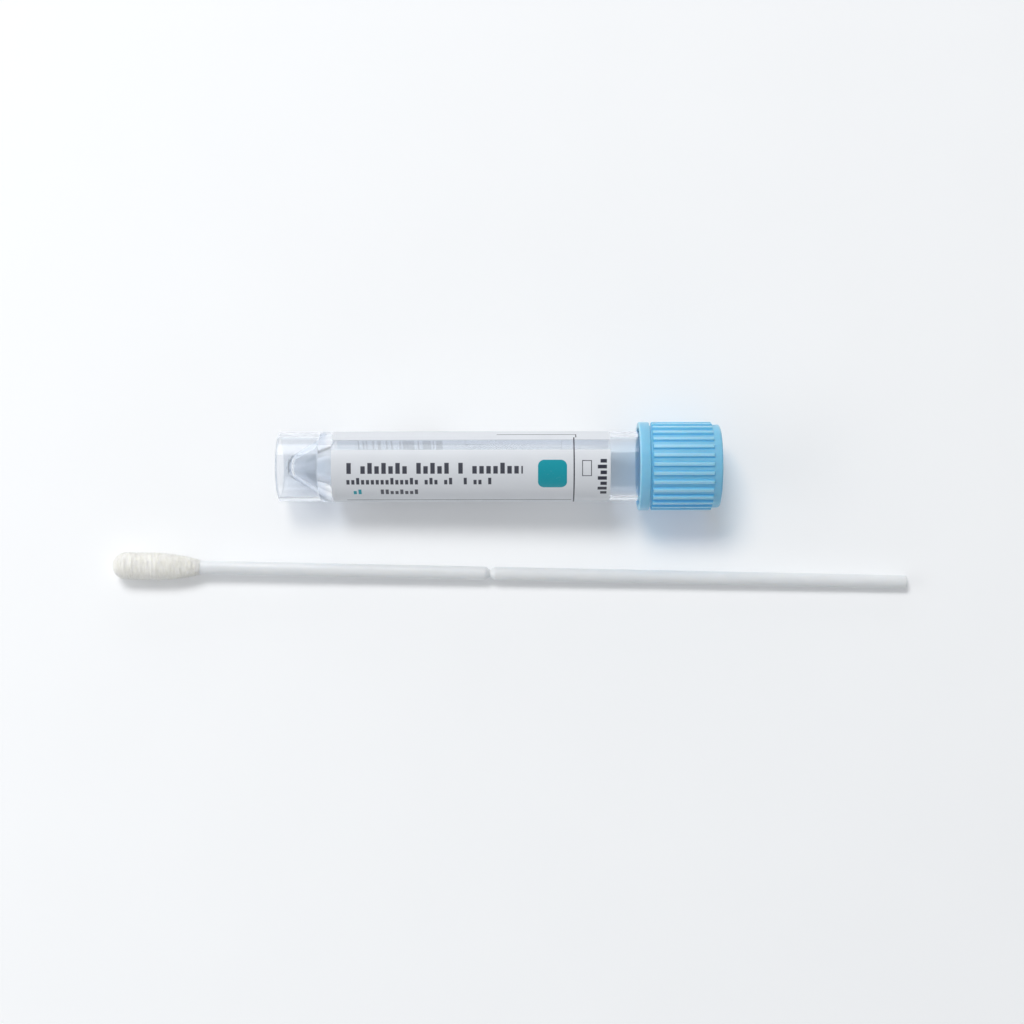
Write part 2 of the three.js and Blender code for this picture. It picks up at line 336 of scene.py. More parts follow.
def helix_ridge(name, root, crest, start, root_width):
    """A screw thread's ridge about Z: one flat section, extruded step by step round and up. It
    runs into the wall at both ends."""
    deselect()
    bpy.ops.mesh.primitive_plane_add(size=1)
    ridge = named(name)
    edit(ridge)
    mesh = bmesh.from_edit_mesh(ridge.data)
    depth = crest - root
    for vertex in mesh.verts:
        at_crest = vertex.co.x > 0
        width = THREAD_CREST_WIDTH if at_crest else root_width
        height = start + math.copysign(width / 2, vertex.co.y)
        vertex.co = Vector((root + (THREAD_RUN_OUT * depth if at_crest else 0), 0, height))
    bmesh.update_edit_mesh(ridge.data)
    bpy.ops.mesh.select_all(action="SELECT")
    steps = round(THREAD_TURNS * THREAD_STEPS)
    turn = 2 * math.pi / THREAD_STEPS
    for i in range(1, steps + 1):
        bpy.ops.mesh.extrude_region_move(
            TRANSFORM_OT_translate={"value": (0, 0, PITCH / THREAD_STEPS)}
        )
        bpy.ops.transform.rotate(value=-turn, orient_axis="Z", center_override=(0, 0, 0))
        share = min(1, i / THREAD_FADE, (steps - i) / THREAD_FADE)
        share = THREAD_RUN_OUT + (1 - THREAD_RUN_OUT) * (3 - 2 * share) * share * share
        section = bmesh.from_edit_mesh(ridge.data)
        for vertex in (v for v in section.verts if v.select):
            flat = Vector((vertex.co.x, vertex.co.y, 0))
            at_root = abs(flat.length - root) < SAME_PLACE
            radius = root if at_root else root + share * depth
            flat = flat.normalized() * radius
            vertex.co = Vector((flat.x, flat.y, vertex.co.z))
        bmesh.update_edit_mesh(ridge.data)
    done()
    outward(ridge)
    return ridge


def join_solid(piece, other):
    """Joins another closed piece to this one as one solid."""
    apply_modifier(piece, "BOOLEAN", operation="UNION", solver="EXACT", object=other)
    bpy.data.objects.remove(other)
    merge_close(piece, SLIVER)


# ---- shader helpers ----------------------------------------------------------------------------


class Value:
    """A shader socket that takes part in plain sums. Each sum adds Math nodes."""

    def __init__(self, socket):
        self.socket = socket

    def maths(self, operation, *others):
        nodes = self.socket.id_data.nodes
        maths = nodes.new("ShaderNodeMath")
        maths.operation = operation
        for slot, other in zip(maths.inputs, (self, *others)):
            plug(slot, other)
        return Value(maths.outputs[0])

    def __add__(self, other):
        return self.maths("ADD", other)

    def __radd__(self, other):
        return self.maths("ADD", other)

    def __sub__(self, other):
        return self.maths("SUBTRACT", other)

    def __rsub__(self, other):
        return (self * -1) + other

    def __mul__(self, other):
        return self.maths("MULTIPLY", other)

    def __rmul__(self, other):
        return self.maths("MULTIPLY", other)

    def __truediv__(self, other):
        return self.maths("DIVIDE", other)

    def __pow__(self, other):
        return self.maths("POWER", other)

    def __abs__(self):
        return self.maths("ABSOLUTE")

    def clamped(self):
        return self.maths("MAXIMUM", 0).maths("MINIMUM", 1)


def plug(slot, value):
    """Sets a socket to a number or colour, or links it."""
    if isinstance(value, Value):
        slot.id_data.links.new(value.socket, slot)
    else:
        slot.default_value = value


class Finish:
    """A material made of nodes, or the world."""

    def __init__(self, name, world=False):
        self.owner = (bpy.data.worlds if world else bpy.data.materials).new(name)
        self.owner.use_nodes = True
        self.tree = self.owner.node_tree
        self.tree.nodes.clear()
        self.output_kind = "ShaderNodeOutput" + ("World" if world else "Material")

    def node(self, kind, settings=None, output=0, **sockets):
        """Adds a node, sets it up, then fills its sockets. A socket with a space in its name is
        given with _ in its place, and one of several of a name by its number, as in_0."""
        node = self.tree.nodes.new("ShaderNode" + kind)
        for name, value in (settings or {}).items():
            setattr(node, name, value)
        for name, value in sockets.items():
            slot = int(name[3:]) if name.startswith("in_") else name.replace("_", " ")
            plug(node.inputs[slot], value)
        return Value(node.outputs[output])

    def show(self, shader):
        out = self.tree.nodes.new(self.output_kind)
        self.tree.links.new(shader.socket, out.inputs["Surface"])
        return self.owner

    def place(self, piece_frame):
        """Object coordinates, in millimetres in the given frame of a piece."""
        return self.node(
            "Mapping",
            {"vector_type": "TEXTURE"},
            Vector=self.node("TexCoord", output=3),
            Location=piece_frame.to_translation(),
            Rotation=piece_frame.to_euler(),
            Scale=(TO_METRES,) * 3,
        )

    def axes(self, vector):
        split = self.node("SeparateXYZ", Vector=vector).socket.node
        return [Value(split.outputs[i]) for i in range(3)]

    def noise(self, vector, scale, detail=3.0, roughness=0.5):
        return self.node(
            "TexNoise", Vector=vector, Scale=scale, Detail=detail, Roughness=roughness
        )

    def stretch(self, vector, scale):
        return self.node("VectorMath", {"operation": "MULTIPLY"}, in_0=vector, in_1=scale)

    def mix(self, factor, first, second):
        """Mixes two colours."""
        return self.node(
            "Mix", {"data_type": "RGBA"}, output=2, in_0=factor, in_6=first, in_7=second
        )

    def bump(self, height, distance, strength):
        return self.node("Bump", Height=height, Distance=distance, Strength=strength)

    def ray(self, kind):
        """1 for rays of one kind, such as Camera or Shadow, and 0 for all others."""
        path = self.node("LightPath").socket.node
        return Value(path.outputs[f"Is {kind} Ray"])


def colour(red, green, blue):
    """A colour given as it looks, 0 to 255, as the numbers that shaders use."""
    return tuple(
        (c / 12.92 if c <= 0.04045 else ((c + 0.055) / 1.055) ** 2.4)
        for c in (red / 255, green / 255, blue / 255)
    ) + (1.0,)


def give(piece, material):
    piece.data.materials.clear()
    piece.data.materials.append(material)


# ---- finishes ----------------------------------------------------------------------------------


def open_air(finish, tint):
    return finish.node("BsdfTransparent", Color=(*tint, 1))


def let_lamps_in(finish, solid, passed):
    """Rays towards the lamps go straight through, so that what is behind is lit."""
    return finish.node("MixShader", in_0=finish.ray("Shadow"), in_1=solid, in_2=passed)


def let_reflections_out(finish, glass, passed):
    """Rays once reflected inside the plastic leave straight, so that none is trapped in a wall."""
    return finish.node("MixShader", in_0=finish.ray("Reflection"), in_1=glass, in_2=passed)


def clear_plastic():
    """Clear moulded plastic. Its underside near the cap carries a painted reflection of the blue cap, a blue tint.
    """
    finish = Finish("clear_plastic")
    place = finish.place(TUBE_FRAME)
    flow = finish.noise(finish.stretch(place, (1.0, 1.0, 0.03)), 1.1, 4.0, 0.55)
    haze = finish.noise(place, 0.35, 2.0)
    down, _, along = finish.axes(place)
    # Painted reflection of the blue cap: the lower wall near the cap is tinted blue.
    underside = (down / TUBE_RADIUS * 1.6 - 0.4).clamped()
    painted_cap_reflection = ((along - LABEL_END + 3) / 6).clamped()
    clean = finish.mix(haze, colour(246, 249, 252), colour(251, 252, 254))
    ripples = finish.bump(flow, 0.000015, 0.6)
    glass = finish.node(
        "BsdfPrincipled",
        Base_Color=finish.mix(underside * painted_cap_reflection, clean, colour(220, 239, 253)),
        Roughness=0.04 + haze * 0.08,
        IOR=1.49,
        Transmission_Weight=0.95,
        Normal=ripples,
    )
    glass = let_reflections_out(finish, glass, open_air(finish, (0.93, 0.95, 0.98)))
    return finish.show(let_lamps_in(finish, glass, open_air(finish, (0.765, 0.79, 0.825))))


def cap_plastic():
    """Light-blue plastic. The ribs' crests and the rim's front edge carry a painted highlight in a paler blue, and
    the ribs' feet carry a painted shade in a deeper blue.
    """
    finish = Finish("cap_blue_plastic")
    place = finish.place(TUBE_FRAME)
    cloud = finish.noise(place, 0.22, 3.0)
    grain = finish.noise(place, 9.0, 4.0, 0.6)
    flow = finish.noise(finish.stretch(place, (1.0, 1.0, 0.12)), 1.6, 3.0)
    tone = (cloud * 0.6 + flow * 0.4).clamped()
    surface = finish.bump(grain * 0.6 + flow * 0.4, 0.00003, 0.6)
    down, back, along = finish.axes(place)
    radius = (down * down + back * back) ** 0.5
    above_valley = ((radius - CAP_WALL_RADIUS) / RIB_HEIGHT).clamped()
    # Painted highlight on the rib crests, uneven with the grain, and weaker on the rim band.
    painted_highlight = (above_valley - 0.75).maths("MAXIMUM", 0) * (1.6 + grain * 1.6)
    on_rim = ((CAP_START + CAP_RIM_BAND + 0.2 - along) / 0.1).clamped()
    # Painted highlight along the rim's front edge.
    painted_rim_highlight = ((CAP_START + 0.35 - along) / 0.2).clamped() * 0.55
    painted_highlight = (painted_highlight * (1 - on_rim * 0.85)).maths("MAXIMUM", painted_rim_highlight)
    base = finish.mix(tone, colour(117, 187, 221), colour(137, 203, 230))
    pitch = 2 * math.pi / RIBS
    ribs = (back.maths("ARCTAN2", down) - math.radians(RIB_PHASE)) / pitch
    from_foot = abs(abs(ribs.maths("WRAP", 0.5, -0.5)) - RIB_FOOT)
    on_ribs = (along - CAP_START - RIB_START) * (CAP_START + RIB_END - along)
    # Painted shade: the feet of the ribs are mixed towards a deeper blue.
    painted_rib_shade = (1 - from_foot / 0.12).clamped() * (1 - above_valley) * on_ribs.clamped()
    base = finish.mix(painted_rib_shade * 0.45, base, colour(66, 188, 238))
    plastic = finish.node(
        "BsdfPrincipled",
        Base_Color=finish.mix(painted_highlight, base, colour(176, 217, 237)),
        Roughness=0.25 + grain * 0.12,
        IOR=1.5,
        Subsurface_Weight=0.5,
        Subsurface_Radius=(0.0004, 0.0009, 0.0012),
        Subsurface_Scale=1.0,
        Normal=surface,
    )
    return finish.show(let_lamps_in(finish, plastic, open_air(finish, (0.3, 0.58, 0.74))))


def seal_rubber():
    finish = Finish("seal_rubber")
    place = finish.place(TUBE_FRAME)
    grain = finish.noise(place, 5.0, 4.0)
    rubber = finish.node(
        "BsdfPrincipled",
        Base_Color=finish.mix(grain, colour(221, 224, 222), colour(236, 238, 236)),
        Roughness=0.55 + grain * 0.2,
        Normal=finish.bump(grain, 0.00003, 0.5),
    )
    return finish.show(rubber)


class Print:
    """Simple printed shapes in the label's own plane: along the tube and round it, in mm."""

    def __init__(self, finish, along, around):
        self.finish = finish
        self.along = along
        self.around = around

    def band(self, value, low, high, soft=PRINT_EDGE):
        """1 between two edges and 0 outside them, with soft steps."""
        middle = (low + high) / 2
        half = (high - low) / 2
        return ((half - abs(value - middle)) / soft + 0.5).clamped()

    def box(self, left, right, top, foot):
        return self.band(self.along, left, right) * self.band(self.around, top, foot)

    def frame(self, left, right, top, foot, line):
        inner = self.box(left + line, right - line, top + line, foot - line)
        return self.box(left, right, top, foot) * (1 - inner)

    def rounded(self, left, right, top, foot, corner):
        """A box with round corners."""
        over = []
        for value, low, high in ((self.along, left, right), (self.around, top, foot)):
            past = abs(value - (low + high) / 2) - (high - low) / 2 + corner
            over.append(past.maths("MAXIMUM", 0))
        far = (over[0] * over[0] + over[1] * over[1]) ** 0.5
        return ((corner - far) / PRINT_EDGE + 0.5).clamped()

    def blocks(self, run, across, start, end, base, height, pitch, seed):
        """A line of small blocks of uneven height with some left out. It stands on base."""
        place = (run - start) / pitch
        cell = place.maths("FLOOR")
        draw = self.finish.node("TexWhiteNoise", {"noise_dimensions": "1D"}, W=cell + seed)
        wide = self.band(place - cell, 0.16, 0.8, PRINT_EDGE / pitch)
        tall = draw.maths("GREATER_THAN", SMALL_BLOCKS) * (1 - SMALL_HEIGHT) + SMALL_HEIGHT
        raised = (base - across) / height
        high = ((tall - raised) * (height / PRINT_EDGE) + 0.5).clamped()
        above = (raised * (height / PRINT_EDGE) + 0.5).clamped()
        printed = draw.maths("GREATER_THAN", BLOCKS_LEFT_OUT) * self.band(run, start, end)
        return wide * high * above * printed

    def line(self, start, end, base, height, pitch, seed):
        return self.blocks(self.along, self.around, start, end, base, height, pitch, seed)


def any_of(masks):
    first, *others = masks
    for mask in others:
        first = first.maths("MAXIMUM", mask)
    return first


def dark_print(printed):
    """The panel that shows from above, then the lines on the back and underside."""
    shapes = [
        printed.line(PRINT_LEFT, 46.1, 2.0, 2.05, 1.3, 3) * 0.96,
        printed.line(PRINT_LEFT, 40.4, 4.15, 1.35, 0.91, 41) * 0.96,
        printed.line(19.4, 26.7, 6.55, 1.25, 0.91, 77) * 0.94,
        printed.blocks(printed.around, printed.along, -0.9, 7.8, 61.7, 1.7, 1.09, 5),
        printed.box(13.0, 55.2, 8.62, 8.84),
        printed.box(55.5, 55.74, -9.0, 12.0),
        printed.frame(57.1, 58.9, -0.5, 2.5, RULE_WIDTH),
        printed.box(41.2, 56.1, LABEL_TURN - 6.9, LABEL_TURN - 6.7),
        printed.box(55.9, 56.1, LABEL_TURN - 6.9, LABEL_TURN - 5.2),
        printed.frame(35.0, 53.6, 22.6, 26.2, RULE_WIDTH),
        printed.frame(35.0, 53.6, 27.2, 30.8, RULE_WIDTH),
    ]
    for i in range(5):
        end = 52.0 - 4 * (i % 3)
        shapes.append(printed.line(PRINT_LEFT, end, 13.6 + 1.6 * i, 0.95, 0.6, 9 * i))
    bar = (printed.along / 0.32).maths("FLOOR")
    chance = printed.finish.node("TexWhiteNoise", {"noise_dimensions": "1D"}, W=bar)
    shapes.append(chance.maths("GREATER_THAN", 0.5) * printed.box(14.0, 31.0, 23.0, 29.5))
    return any_of(shapes)


def teal_print(printed):
    return any_of(
        [
            printed.rounded(48.9, 54.3, -0.6, 4.85, 1.2),
            printed.line(13.4, 18.0, 6.55, 1.25, 0.91, 60),
            printed.box(13.0, 53.6, 32.0, 32.7),
        ]
    )


def label_film():
    """White printed paper with a clear strip. Light that has come in through the paper and been
    thrown about inside the tube shows as a soft glow of the paper's inner side."""
    finish = Finish("label_film")
    place = finish.place(TUBE_FRAME)
    down, back, along = finish.axes(place)
    angle = (back * -1).maths("ARCTAN2", down * -1)
    first = LABEL_FIRST / LABEL_RADIUS
    around = angle.maths("WRAP", first + 2 * math.pi, first) * LABEL_RADIUS
    radius = (down * down + back * back) ** 0.5
    outside = ((radius - LABEL_MIDDLE) / 0.01 + 0.5).clamped()
    printed = Print(finish, along, around)
    fibre = finish.noise(finish.stretch(place, (1.0, 1.0, 0.6)), 3.2, 5.0, 0.6)
    cloud = finish.noise(place, 0.15, 2.0)
    strength = (0.3 + outside * 0.7) * (1 - (fibre - 0.6).maths("MAXIMUM", 0) * 0.5)
    dark = dark_print(printed) * strength
    teal = teal_print(printed) * strength
    ink = dark.maths("MAXIMUM", teal)
    tone = finish.mix(cloud, colour(216, 219, 224), colour(222, 225, 229))
    tone = finish.mix(dark, tone, colour(46, 48, 62))
    tone = finish.mix(teal, tone, colour(6, 150, 165))
    paper = finish.node(
        "BsdfPrincipled",
        Base_Color=tone,
        Roughness=0.42 - ink * 0.1 + fibre * 0.1,
        IOR=1.5,
        Coat_Weight=0.12,
        Coat_Roughness=0.25,
        Emission_Color=finish.mix(outside, tone, colour(0, 0, 0)),
        Emission_Strength=0.5,
        Normal=finish.bump(fibre + ink * 0.4, 0.00001, 0.6),
    )
    window = printed.band(around, WINDOW_TOP, WINDOW_FOOT, 0.05)
    clear = window.maths("MAXIMUM", printed.band(around, LABEL_TURN + WINDOW_TOP, 99))
    return finish.show(
        finish.node(
            "MixShader",
            in_0=clear * (1 - ink) * 0.95,
            in_1=let_lamps_in(finish, paper, open_air(finish, (0.46, 0.47, 0.49))),
            in_2=open_air(finish, (0.98, 0.98, 0.98)),
        )
    )


def clear_liquid():
    finish = Finish("clear_liquid")
    place = finish.place(TUBE_FRAME)
    swirl = finish.noise(place, 0.25, 2.0)
    liquid = finish.node(
        "BsdfPrincipled",
        Base_Color=finish.mix(swirl, colour(246, 250, 251), colour(251, 253, 253)),
        Roughness=0.0,
        IOR=1.334,
        Transmission_Weight=1.0,
    )
    return finish.show(liquid)


def shaft_plastic():
    finish = Finish("white_shaft_plastic")
    place = finish.place(SWAB_FRAME)
    draw = finish.noise(finish.stretch(place, (1.0, 1.0, 0.06)), 2.6, 4.0)
    cloud = finish.noise(finish.stretch(place, (1.0, 1.0, 0.4)), 0.5, 2.0)
    grain = finish.noise(place, 14.0, 3.0)
    plastic = finish.node(
        "BsdfPrincipled",
        Base_Color=finish.mix(cloud, colour(224, 227, 229), colour(235, 237, 238)),
        Roughness=0.26 + draw * 0.14,
        IOR=1.55,
        Subsurface_Weight=0.3,
        Subsurface_Radius=(0.0009, 0.0008, 0.0007),
        Subsurface_Scale=1.0,
        Normal=finish.bump(draw * 0.7 + grain * 0.3, 0.00002, 0.6),
    )
    return finish.show(plastic)


def wound_fibre(name, loose=False):
    finish = Finish(name)
    place = finish.place(SWAB_FRAME)
    wound = finish.noise(finish.stretch(place, (0.5, 0.5, 5.0)), 1.3, 5.0, 0.6)
    clump = finish.noise(place, 1.1, 3.0)
    light = colour(254, 253, 249)
    shade = colour(238, 236, 229)
    tone = (wound * 0.65 + clump * 0.35 - 0.32) * 2.4
    parts = {
        "Base_Color": finish.mix(tone.clamped(), shade, light),
        "Roughness": 0.8 + clump * 0.15,
        "Sheen_Weight": 0.4,
        "Sheen_Roughness": 0.5,
        "Subsurface_Weight": 0.3,
        "Subsurface_Radius": (0.0005, 0.0005, 0.0004),
        "Subsurface_Scale": 1.0,
    }
    if not loose:
        parts["Normal"] = finish.bump(wound * 0.7 + clump * 0.3, 0.0001, 0.7)
    return finish.show(finish.node("BsdfPrincipled", **parts))


# ---- tube, liquid, label -----------------------------------------------------------------------


def bore_profile(grow=0.0):
    """The tube's inside, from the straight bore down to the cone's tip."""
    bore = BORE_RADIUS + grow
    return [
        (bore, CONE_TOP + 0.5),
        (bore - 0.03, CONE_TOP + 0.1),
        (bore - 0.2, CONE_TOP - 0.3),
        (1.5 + grow, 3.35 - grow),
        (1.15 + grow, 2.95 - grow),
        (0.75 + grow, 2.74 - grow),
        (0.05, 2.7 - grow),
    ]


def make_tube(material):
    profile = [
        (0.05, 1.3),
        (0.4, 1.3),
        (0.5, 1.4),
        (0.52, CONE_FOOT),
        (1.25, CONE_FOOT + 0.06),
        (1.65, CONE_FOOT + 0.25),
        (1.95, CONE_FOOT + 0.6),
        (5.3, SKIRT_TOP - 0.55),
        (5.5, SKIRT_TOP - 0.4),
        (BORE_RADIUS, SKIRT_TOP - 0.75),
        (BORE_RADIUS + 0.05, 0.35),
        (BORE_RADIUS + 0.12, 0.1),
        (BORE_RADIUS + 0.3, 0.0),
        *arc((TUBE_RADIUS - 0.3, 0.3), 0.3, -90, 0, 5),
        (TUBE_RADIUS, LABEL_START - 2),
        (TUBE_RADIUS, LABEL_END + 2),
        *arc((TUBE_RADIUS - 0.35, TUBE_LENGTH - 0.35), 0.35, 0, 90, 5),
        *arc((BORE_RADIUS + 0.25, TUBE_LENGTH - 0.25), 0.25, 90, 180, 4),
        *bore_profile(),
    ]
    tube = turned("tube_clear", supported(profile), TUBE_SIDES)
    ridge = helix_ridge(
        "tube_thread",
        TUBE_RADIUS - 0.3,
        TUBE_RADIUS + THREAD_HEIGHT,
        TUBE_THREAD_START,
        TUBE_THREAD_WIDTH,
    )
    join_solid(tube, ridge)
    smooth(tube, 30)
    put(tube, TUBE_FRAME)
    give(tube, material)
    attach(tube, "tube_and_swab")
    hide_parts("tube")


def make_liquid(material):
    """The liquid fills the bore and is cut level. Its rim climbs the wall a little."""
    bore = BORE_RADIUS + LIQUID_INTO_WALL
    profile = [(0.05, LIQUID_END), (bore, LIQUID_END), *bore_profile(LIQUID_INTO_WALL)]
    pool = turned("buffer_liquid", supported(profile), TUBE_SIDES)
    choose(pool)
    in_millimetres = Matrix.Scale(1 / TO_METRES, 4) @ TUBE_FRAME @ Matrix.Scale(TO_METRES, 4)
    pool.matrix_world = in_millimetres
    bpy.ops.object.transform_apply(location=True, rotation=True, scale=True)
    edit(pool)
    bpy.ops.mesh.select_all(action="SELECT")
    bpy.ops.mesh.bisect(
        plane_co=(0, 0, LIQUID_LEVEL + MENISCUS),
        plane_no=(0, 0, 1),
        use_fill=True,
        clear_outer=True,
        threshold=1e-5,
    )
    rim = [v.co.copy() for v in bmesh.from_edit_mesh(pool.data).verts if v.select]
    middle = middle_of(rim)
    half = [max(co[i] for co in rim) - middle[i] for i in range(2)]
    for reach, drop in MENISCUS_STEPS:
        bpy.ops.mesh.extrude_region_move(TRANSFORM_OT_translate={"value": (0, 0, -drop)})
        shrink = [1 - reach / side for side in half]
        bpy.ops.transform.resize(value=(*shrink, 1), center_override=middle)
        half = [side - reach for side in half]
    done()
    merge_close(pool)
    outward(pool)
    smooth(pool, 50)
    put(pool, Matrix.Identity(4))
    give(pool, material)
    pool.visible_shadow = False
    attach(pool, "tube_and_swab")
    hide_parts("buffer")


def make_label(material):
    """One film wrapped round the tube. Its end laps over its start."""
    deselect()
    bpy.ops.mesh.primitive_plane_add(size=1)
    label = named("label_wrap")
    edit(label)
    pick(label, lambda co: co.x > 0)
    bpy.ops.mesh.delete(type="VERT")
    mesh = bmesh.from_edit_mesh(label.data)
    start = math.pi + LABEL_FIRST / LABEL_RADIUS
    for vertex in mesh.verts:
        height = LABEL_START if vertex.co.y < 0 else LABEL_END
        across = Vector((math.cos(start), math.sin(start)))
        vertex.co = Vector((*across * LABEL_MIDDLE, height))
    bmesh.update_edit_mesh(label.data)
    bpy.ops.mesh.select_all(action="SELECT")
    turn = 2 * math.pi / LABEL_SIDES
    lap = math.ceil((WINDOW_TOP - LABEL_FIRST) / LABEL_RADIUS / turn)
    for i in range(LABEL_SIDES + lap):
        bpy.ops.mesh.extrude_region_move(TRANSFORM_OT_translate={"value": (0, 0, 0)})
        bpy.ops.transform.rotate(value=-turn, orient_axis="Z", center_override=(0, 0, 0))
        if LABEL_SIDES - 1 - LAP_SIDES <= i < LABEL_SIDES - 1:
            widen(1 + 0.3 * LABEL_FILM / LABEL_MIDDLE)
    done()
    apply_modifier(label, "SOLIDIFY", thickness=LABEL_FILM, offset=0)
    outward(label)
    smooth(label, 40)
    put(label, TUBE_FRAME)
    give(label, material)
    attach(label, "tube_and_swab")
    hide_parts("label")


# ---- cap and seal ------------------------------------------------------------------------------


def rib_share(co):
    """Where a point is between the middle of one rib, 0, and the next, 1."""
    turn = math.degrees(math.atan2(co.y, co.x)) / (360 / RIBS)
    return turn % 1


def make_cap(material):
    top_inside = CAP_LENGTH - CAP_TOP
    profile = [
        (0.05, CAP_LENGTH - 0.1),
        (0.45, CAP_LENGTH - 0.1),
        (0.55, CAP_LENGTH - 0.2),
        (1.0, CAP_LENGTH - 0.2),
        (1.15, CAP_LENGTH),
        *arc((CAP_CROWN_RADIUS - 0.5, CAP_LENGTH - 0.5), 0.5, 90, 0, 6),
        (CAP_CROWN_RADIUS + 0.01, RIB_END),
        (CAP_WALL_RADIUS, RIB_START),
        (CAP_WALL_RADIUS - GROOVE_DEPTH, RIB_START - 0.06),
        (CAP_WALL_RADIUS - GROOVE_DEPTH, CAP_RIM_BAND + 0.06),
        (CAP_WALL_RADIUS, CAP_RIM_BAND),
        *arc((CAP_RIM_RADIUS - 0.16, CAP_RIM_BAND - 0.16), 0.16, 90, 0, 4),
        *arc((CAP_RIM_RADIUS - 0.3, 0.3), 0.3, 0, -90, 6),
        *arc((CAP_BORE + 0.2, 0.2), 0.2, -90, -180, 4),
        (CAP_BORE, top_inside - 0.4),
        (CAP_BORE - 0.4, top_inside),
        (0.05, top_inside),
    ]
    cap = turned("cap_blue", profile, RIBS * SIDES_PER_RIB)
    edit(cap)
    pick(
        cap,
        lambda co: RIB_START < co.z < RIB_END
        and co.xy.length > CAP_BORE + 0.2
        and abs((rib_share(co) + 0.5) % 1 - 0.5) < RIB_FOOT,
        "faces",
    )
    bpy.ops.mesh.inset(thickness=RIB_SLOPE, depth=RIB_HEIGHT, use_even_offset=True)
    done()
    apply_modifier(
        cap,
        "BEVEL",
        width=CAP_BEVEL,
        segments=3,
        limit_method="ANGLE",
        angle_limit=math.radians(28),
        use_clamp_overlap=True,
    )
    ridge = helix_ridge(
        "cap_thread",
        CAP_BORE + 0.15,
        CAP_BORE - THREAD_HEIGHT,
        CAP_THREAD_START,
        CAP_THREAD_WIDTH,
    )
    join_solid(cap, ridge)
    smooth(cap, 40)
    turn = Matrix.Rotation(math.radians(RIB_PHASE), 4, "Z")
    put(cap, TUBE_FRAME @ Matrix.Translation((0, 0, CAP_START * TO_METRES)) @ turn)
    give(cap, material)
    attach(cap, "cap")
    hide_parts("cap")


def make_seal(material):
    profile = [
        (0.05, SEAL_FOOT),
        (3.7, SEAL_FOOT),
        (3.95, SEAL_FOOT - SEAL_LIP),
        *arc((4.35, SEAL_FOOT - 2 * SEAL_LIP), 0.3, 180, 360, 8),
        (4.75, SEAL_FOOT - SEAL_LIP),
        (5.0, SEAL_FOOT),
        *arc((6.9, SEAL_FOOT + 0.2), 0.2, -90, 0, 4),
        *arc((6.95, SEAL_FOOT + 1.15), 0.15, 0, 90, 4),
        (0.05, SEAL_FOOT + 1.3),
    ]
    seal = turned("cap_seal_disc", supported(profile), SEAL_SIDES)
    smooth(seal, 35)
    put(seal, TUBE_FRAME)
    give(seal, material)
    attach(seal, "seal")
    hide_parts("cap_seal")


# ---- swab --------------------------------------------------------------------------------------


def make_shaft(material):
    profile = [
        (0.05, SPIGOT_START),
        (SPIGOT_RADIUS - 0.1, SPIGOT_START),
        (SPIGOT_RADIUS, SPIGOT_START + 0.1),
        (SPIGOT_RADIUS, BUD_LENGTH - 3.4),
        (1.15, BUD_LENGTH - 2.4),
        (SHAFT_RADIUS, BUD_LENGTH - 1.0),
        (SHAFT_RADIUS, BREAK_PLACE - 1.5),
        (SHAFT_RADIUS, BREAK_PLACE - 0.9),
        (SHAFT_RADIUS - 0.08, BREAK_PLACE - 0.72),
        (0.82, BREAK_PLACE - 0.22),
        (0.72, BREAK_PLACE - 0.08),
        (0.7, BREAK_PLACE),
        (0.72, BREAK_PLACE + 0.08),
        (0.82, BREAK_PLACE + 0.22),
        (SHAFT_RADIUS - 0.08, BREAK_PLACE + 0.72),
        (SHAFT_RADIUS, BREAK_PLACE + 0.9),
        (SHAFT_RADIUS, BREAK_PLACE + 1.5),
        (SHAFT_RADIUS, SWAB_LENGTH - 3),
        *arc((SHAFT_RADIUS - 0.35, SWAB_LENGTH - 0.35), 0.35, 0, 90, 5),
        (0.5, SWAB_LENGTH),
        (0.4, SWAB_LENGTH - 0.08),
        (0.05, SWAB_LENGTH - 0.08),
    ]
    shaft = turned("swab_shaft_rod", supported(profile), SHAFT_SIDES)
    edit(shaft)
    seam = 2 * math.pi * SHAFT_RADIUS / SHAFT_SIDES
    pick(
        shaft,
        lambda co: BUD_LENGTH + 1 < co.z < SWAB_LENGTH - 3
        and abs(co.x) < seam
        and co.xy.length > SHAFT_RADIUS * 0.98,
        "faces",
    )
    bpy.ops.mesh.inset(thickness=SEAM_INSET, depth=SEAM_HEIGHT)
    done()
    smooth(shaft, 30)
    put(shaft, SWAB_FRAME)
    give(shaft, material)
    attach(shaft, "tube_and_swab")
    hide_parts("swab_shaft")


def bud_radius(height):
    """The bud's outline: a round nose, a full body and a long taper onto the shaft."""
    if height < BUD_NOSE:
        return BUD_RADIUS * math.sqrt(max(0, 1 - (1 - height / BUD_NOSE) ** 2))
    if height < BUD_FULL_END:
        return BUD_RADIUS
    fall = (height - BUD_FULL_END) / (BUD_LENGTH - BUD_FULL_END)
    layer = BUD_LAYER * (1 - fall**8)
    return BUD_RADIUS - (BUD_RADIUS - SHAFT_RADIUS - layer) * fall**2.1


